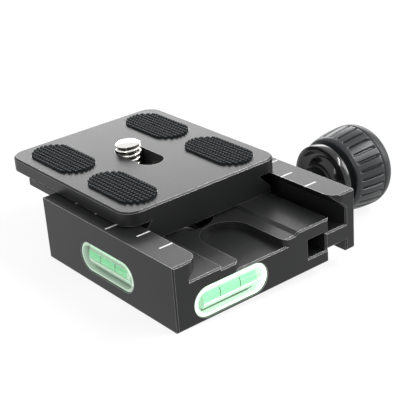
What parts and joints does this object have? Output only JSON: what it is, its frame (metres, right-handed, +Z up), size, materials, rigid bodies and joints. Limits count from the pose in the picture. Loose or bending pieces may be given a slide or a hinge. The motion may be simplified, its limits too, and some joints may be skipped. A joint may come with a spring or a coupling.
{
  "type": "dovetail quick release clamp",
  "caption": "Compact camera clamp with dovetail jaws, a clamping knob, built-in bubble levels and a padded release plate with a camera screw.",
  "frame": {"origin": "centre of the mounting thread on the underside of the base", "axes": "+Z up out of the clamp, +X from the fixed jaw to the knob, +Y along the dovetail to the rear"},
  "size_m": [0.0824, 0.0709, 0.0268],
  "materials": {
    "black_anodised": "satin black anodised, fine bead-blasted",
    "white_paint": "white paint fill",
    "steel": "zinc plated steel",
    "chrome": "bright nickel plate",
    "gloss_black": "gloss black anodised",
    "grip_rubber": "moulded rubber",
    "pad_rubber": "ribbed rubber",
    "clear_acrylic": "polished acrylic",
    "green_fluid": "tinted level fluid",
    "ring_ink": "printed rings",
    "white_plastic": "sealing plug"
  },
  "bodies": {
    "clamp_base": {"base_block": "black_anodised", "fixed_jaw_marks": "white_paint", "mount_bushing": "steel", "front_return_spring": "steel", "rear_return_spring": "steel", "front_vial_block": "clear_acrylic", "side_vial_block": "clear_acrylic", "front_vial_fluid": "green_fluid", "side_vial_fluid": "green_fluid", "front_vial_rings": "ring_ink", "side_vial_rings": "ring_ink", "front_vial_plug": "white_plastic", "side_vial_plug": "white_plastic"},
    "clamp_jaw": {"moving_jaw": "black_anodised", "moving_jaw_marks": "white_paint", "front_guide_pin": "steel", "rear_guide_pin": "steel", "thrust_washer": "steel"},
    "clamp_knob": {"clamp_screw": "steel", "spacer_sleeve": "gloss_black", "knob_core": "gloss_black", "knob_grip": "grip_rubber", "knob_end_cap": "gloss_black"},
    "plate": {"release_plate": "black_anodised", "front_left_pad": "pad_rubber", "front_right_pad": "pad_rubber", "rear_left_pad": "pad_rubber", "rear_right_pad": "pad_rubber", "front_stop_screw": "chrome", "rear_stop_screw": "chrome"},
    "screw_clip": {"retaining_clip": "chrome"},
    "camera_screw": {"camera_screw": "chrome"}
  },
  "joints": [
    {"name": "jaw_slide", "type": "slide", "parent": "clamp_base", "child": "clamp_jaw", "axis": [-1, 0, 0], "range_m": [0, 0.005], "deforming": ["front_return_spring", "rear_return_spring"]},
    {"name": "knob_turn", "type": "hinge", "parent": "clamp_jaw", "child": "clamp_knob", "pos_m": [0.03035, 0, 0.0054], "axis": [-1, 0, 0], "range_deg": [0, 2250]},
    {"name": "plate_seat", "type": "slide", "parent": "clamp_base", "child": "plate", "axis": [-1, 0, 0], "range_m": [0, 0.00155]},
    {"name": "screw_shift", "type": "slide", "parent": "plate", "child": "screw_clip", "axis": [0, -1, 0], "range_m": [0, 0.0089]},
    {"name": "camera_screw_turn", "type": "hinge", "parent": "screw_clip", "child": "camera_screw", "pos_m": [0.0038, 0.02558, 0.0192], "axis": [0, 0, 1], "continuous": true}
  ],
  "couplings": [
    {"joint": "knob_turn", "follows": "jaw_slide", "rad_per_m": 7854},
    {"joint": "plate_seat", "follows": "jaw_slide", "ratio": 0.31}
  ]
}
